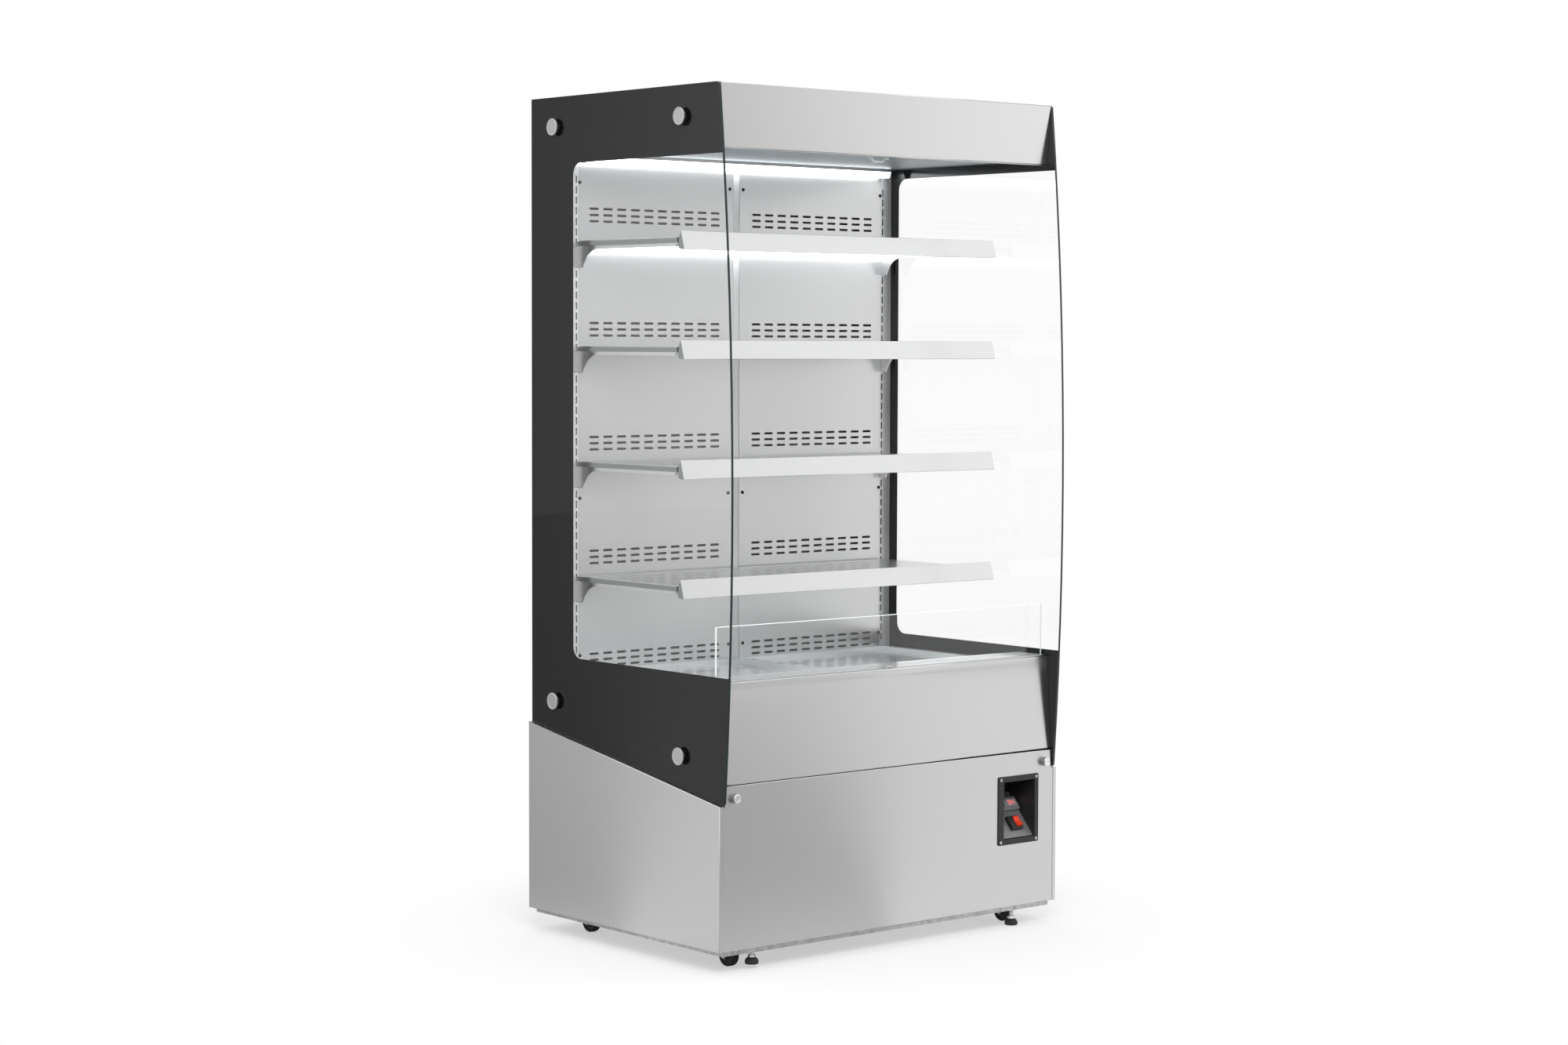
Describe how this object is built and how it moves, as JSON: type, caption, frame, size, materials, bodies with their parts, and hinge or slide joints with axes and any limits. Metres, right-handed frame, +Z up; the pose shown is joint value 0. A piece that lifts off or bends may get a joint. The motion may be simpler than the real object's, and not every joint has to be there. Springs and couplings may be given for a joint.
{
  "type": "open-front chilled display case",
  "caption": "Upright open-front chilled display case: glass sides, slotted rear wall, tilted-lip shelves, night curtain, sloped steel base on castors and levelling feet.",
  "frame": {"origin": "on the floor, under the middle of the whole case", "axes": "+X to the right seen from the front, +Y from the open front to the back, +Z up"},
  "size_m": [1.006, 0.7147, 1.878],
  "materials": {
    "brushed_steel": "satin stainless sheet with a fine horizontal grain",
    "display_steel": "dull stainless sheet, nearly grainless",
    "bright_steel": "turned and polished steel",
    "zinc_steel": "zinc-plated pressed steel",
    "white_paint": "smooth white powder coat",
    "foamed_liner": "white skin over foam",
    "grey_paint": "mid grey powder coat",
    "coil_metal": "mill-finish fins and tube",
    "side_pane": "clear toughened glass with a black enamelled border",
    "sill_pane": "clear toughened glass with polished edges",
    "lamp_cover": "opal diffuser",
    "black_moulding": "fine-textured black moulding",
    "red_switch": "translucent red rocker",
    "black_rubber": "black nylon and rubber",
    "compressor_black": "black stoved enamel",
    "pan_plastic": "moulded pan",
    "curtain_cloth": "coated woven blind cloth"
  },
  "bodies": {
    "cabinet": {"air_panel_left": "display_steel", "air_panel_right": "display_steel", "apron": "brushed_steel", "base_frame": "zinc_steel", "base_side_left": "brushed_steel", "base_side_right": "brushed_steel", "canopy_box": "white_paint", "canopy_fascia": "brushed_steel", "ceiling_liner": "white_paint", "compressor": "compressor_black", "condenser_coil": "coil_metal", "condenser_shroud": "zinc_steel", "curtain_fabric": "curtain_cloth", "drain_pan": "pan_plastic", "electrical_box": "grey_paint", "evaporator_coil": "coil_metal", "evaporator_fan_plate": "zinc_steel", "glass_caps": "bright_steel", "insulated_back": "foamed_liner", "lamps": "lamp_cover", "panel_screws": "bright_steel", "rear_castor_forks": "zinc_steel", "rear_grille": "grey_paint", "return_grille": "display_steel", "shelf_brackets": "white_paint", "side_glass_left": "side_pane", "side_glass_right": "side_pane", "sill_glass": "sill_pane", "tank": "foamed_liner", "uprights": "zinc_steel"},
    "service_panel": {"service_panel": "brushed_steel", "control_bezel": "black_moulding", "control_plate": "grey_paint", "thermostat": "black_moulding", "rocker_housing": "black_moulding"},
    "thumbscrew_left": {"thumbscrew_left": "bright_steel"},
    "thumbscrew_right": {"thumbscrew_right": "bright_steel"},
    "key_set": {"key_set": "black_moulding"},
    "key_up": {"key_up": "black_moulding"},
    "key_down": {"key_down": "black_moulding"},
    "rocker": {"rocker": "red_switch"},
    "shelf_1": {"shelf_1": "display_steel"},
    "shelf_2": {"shelf_2": "display_steel"},
    "shelf_3": {"shelf_3": "display_steel"},
    "shelf_4": {"shelf_4": "display_steel"},
    "deck_tray_left": {"deck_tray_left": "display_steel"},
    "deck_tray_right": {"deck_tray_right": "display_steel"},
    "curtain_roller": {"curtain_roller": "coil_metal"},
    "curtain_bar": {"curtain_bar": "bright_steel"},
    "evaporator_fan_left": {"evaporator_fan_left": "black_moulding"},
    "evaporator_fan_right": {"evaporator_fan_right": "black_moulding"},
    "condenser_fan": {"condenser_fan": "black_moulding"},
    "castor_fork_front_left": {"castor_fork_front_left": "zinc_steel"},
    "castor_fork_front_right": {"castor_fork_front_right": "zinc_steel"},
    "castor_wheel_front_left": {"castor_wheel_front_left": "black_rubber"},
    "castor_wheel_front_right": {"castor_wheel_front_right": "black_rubber"},
    "castor_wheel_back_left": {"castor_wheel_back_left": "black_rubber"},
    "castor_wheel_back_right": {"castor_wheel_back_right": "black_rubber"},
    "levelling_foot_left": {"levelling_foot_left": "black_rubber"},
    "levelling_foot_right": {"levelling_foot_right": "black_rubber"}
  },
  "joints": [
    {"name": "service_panel_pull", "type": "slide", "parent": "cabinet", "child": "service_panel", "axis": [0, -1, 0], "range_m": [0, 0.08]},
    {"name": "thumbscrew_left_turn", "type": "hinge", "parent": "service_panel", "child": "thumbscrew_left", "pos_m": [-0.46, -0.33765, 0.3755], "axis": [0, -1, 0], "continuous": true},
    {"name": "thumbscrew_right_turn", "type": "hinge", "parent": "service_panel", "child": "thumbscrew_right", "pos_m": [0.46, -0.33765, 0.3755], "axis": [0, -1, 0], "continuous": true},
    {"name": "key_set_press", "type": "slide", "parent": "service_panel", "child": "key_set", "axis": [0, 0.7466, -0.6652], "range_m": [0, 0.0008], "stiffness_N_per_m": 400, "springref_m": -0.0002},
    {"name": "key_up_press", "type": "slide", "parent": "service_panel", "child": "key_up", "axis": [0, 0.7466, -0.6652], "range_m": [0, 0.0008], "stiffness_N_per_m": 400, "springref_m": -0.0002},
    {"name": "key_down_press", "type": "slide", "parent": "service_panel", "child": "key_down", "axis": [0, 0.7466, -0.6652], "range_m": [0, 0.0008], "stiffness_N_per_m": 400, "springref_m": -0.0002},
    {"name": "rocker_switch", "type": "hinge", "parent": "service_panel", "child": "rocker", "pos_m": [0.3945, -0.31249, 0.24013], "axis": [1, 0, 0], "range_deg": [0, 16]},
    {"name": "shelf_1_lift", "type": "slide", "parent": "cabinet", "child": "shelf_1", "axis": [0, 0, 1], "range_m": [0, 0.03]},
    {"name": "shelf_2_lift", "type": "slide", "parent": "cabinet", "child": "shelf_2", "axis": [0, 0, 1], "range_m": [0, 0.03]},
    {"name": "shelf_3_lift", "type": "slide", "parent": "cabinet", "child": "shelf_3", "axis": [0, 0, 1], "range_m": [0, 0.03]},
    {"name": "shelf_4_lift", "type": "slide", "parent": "cabinet", "child": "shelf_4", "axis": [0, 0, 1], "range_m": [0, 0.03]},
    {"name": "deck_tray_left_lift", "type": "slide", "parent": "cabinet", "child": "deck_tray_left", "axis": [0, 0, 1], "range_m": [0, 0.04]},
    {"name": "deck_tray_right_lift", "type": "slide", "parent": "cabinet", "child": "deck_tray_right", "axis": [0, 0, 1], "range_m": [0, 0.04]},
    {"name": "curtain_pull", "type": "slide", "parent": "cabinet", "child": "curtain_bar", "axis": [0, -0.0434, -0.9991], "range_m": [0, 1.10504], "stiffness_N_per_m": 10, "springref_m": -1, "deforming": ["curtain_fabric"]},
    {"name": "curtain_roller_turn", "type": "hinge", "parent": "cabinet", "child": "curtain_roller", "pos_m": [0, -0.24615, 1.815], "axis": [1, 0, 0], "continuous": true},
    {"name": "condenser_fan_spin", "type": "hinge", "parent": "cabinet", "child": "condenser_fan", "pos_m": [0.21, 0.23035, 0.2145], "axis": [0, 1, 0], "continuous": true},
    {"name": "evaporator_fan_left_spin", "type": "hinge", "parent": "cabinet", "child": "evaporator_fan_left", "pos_m": [-0.2, -0.23065, 0.515], "axis": [0, 1, 0], "continuous": true},
    {"name": "evaporator_fan_right_spin", "type": "hinge", "parent": "cabinet", "child": "evaporator_fan_right", "pos_m": [0.2, -0.23065, 0.515], "axis": [0, 1, 0], "continuous": true},
    {"name": "castor_left_swivel", "type": "hinge", "parent": "cabinet", "child": "castor_fork_front_left", "pos_m": [-0.41, -0.23565, 0.065], "axis": [0, 0, 1], "continuous": true},
    {"name": "castor_wheel_front_left_roll", "type": "hinge", "parent": "castor_fork_front_left", "child": "castor_wheel_front_left", "pos_m": [-0.41, -0.25365, 0.025], "axis": [1, 0, 0], "continuous": true},
    {"name": "castor_wheel_back_left_roll", "type": "hinge", "parent": "cabinet", "child": "castor_wheel_back_left", "pos_m": [-0.41, 0.23935, 0.025], "axis": [1, 0, 0], "continuous": true},
    {"name": "castor_right_swivel", "type": "hinge", "parent": "cabinet", "child": "castor_fork_front_right", "pos_m": [0.41, -0.23565, 0.065], "axis": [0, 0, 1], "continuous": true},
    {"name": "castor_wheel_front_right_roll", "type": "hinge", "parent": "castor_fork_front_right", "child": "castor_wheel_front_right", "pos_m": [0.41, -0.25365, 0.025], "axis": [1, 0, 0], "continuous": true},
    {"name": "castor_wheel_back_right_roll", "type": "hinge", "parent": "cabinet", "child": "castor_wheel_back_right", "pos_m": [0.41, 0.23935, 0.025], "axis": [1, 0, 0], "continuous": true},
    {"name": "levelling_foot_left_height", "type": "slide", "parent": "cabinet", "child": "levelling_foot_left", "axis": [0, 0, 1], "range_m": [-0.01, 0.008]},
    {"name": "levelling_foot_right_height", "type": "slide", "parent": "cabinet", "child": "levelling_foot_right", "axis": [0, 0, 1], "range_m": [-0.001, 0.017]}
  ],
  "couplings": [
    {"joint": "curtain_roller_turn", "follows": "curtain_pull", "rad_per_m": 66.667}
  ]
}
